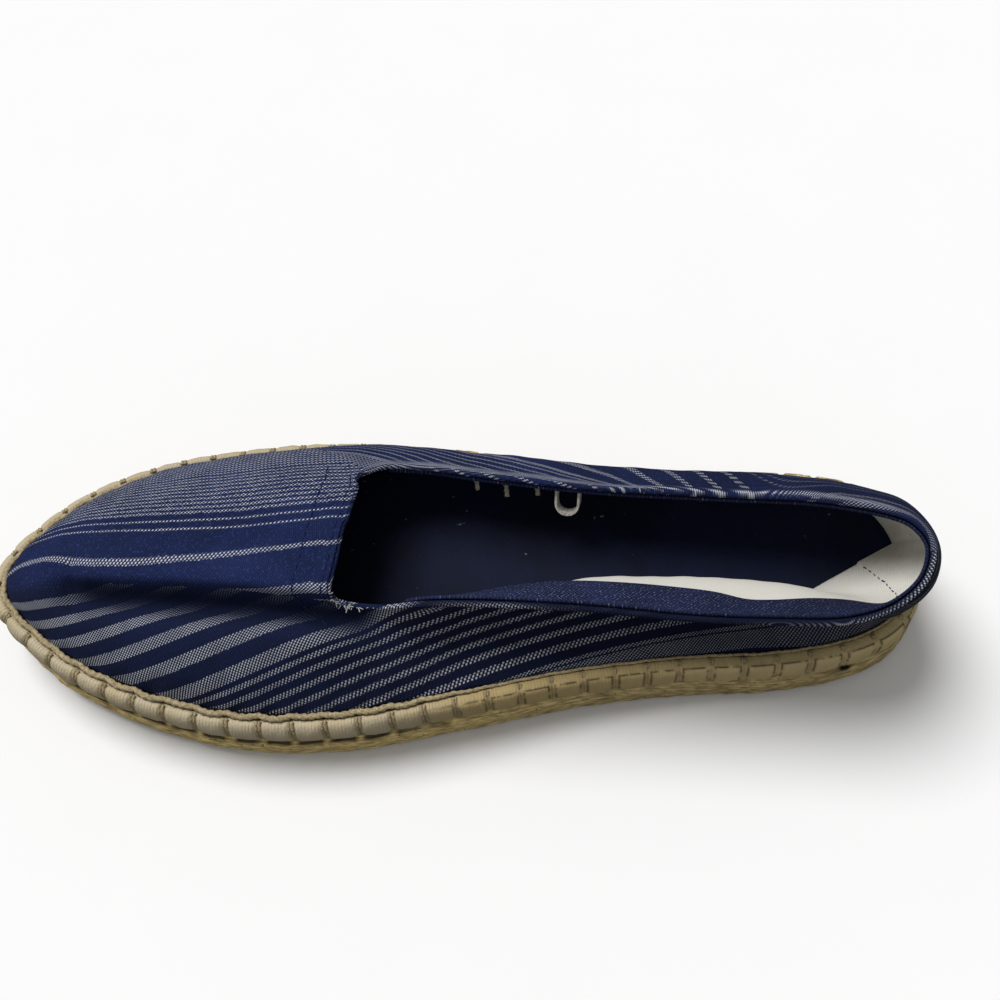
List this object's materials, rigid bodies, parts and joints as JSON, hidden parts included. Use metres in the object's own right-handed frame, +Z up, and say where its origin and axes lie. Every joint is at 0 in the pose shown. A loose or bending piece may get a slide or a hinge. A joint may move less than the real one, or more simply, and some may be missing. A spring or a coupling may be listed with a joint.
{
  "type": "espadrille",
  "caption": "Slip-on espadrille, left foot, jute sole with stitched rand and slumped striped canvas upper.",
  "frame": {"origin": "under the middle of the sole, on the floor", "axes": "+X from the toe to the heel, +Y to the medial side, +Z up"},
  "size_m": [0.255, 0.0882, 0.0542],
  "materials": {
    "jute": "spun jute, pressed and worn",
    "rand_cotton": "ribbed cotton, soiled",
    "canvas": "woven cotton with grey warp stripes",
    "navy_tape": "herringbone cotton tape",
    "insole_cloth": "smooth cotton cloth",
    "white_cotton": "plain cotton tape"
  },
  "bodies": {
    "root": {"sole": "jute", "rand_roll": "rand_cotton", "upper": "canvas", "topline_tape": "navy_tape", "insole": "insole_cloth", "pair_loop": "white_cotton"}
  },
  "joints": []
}
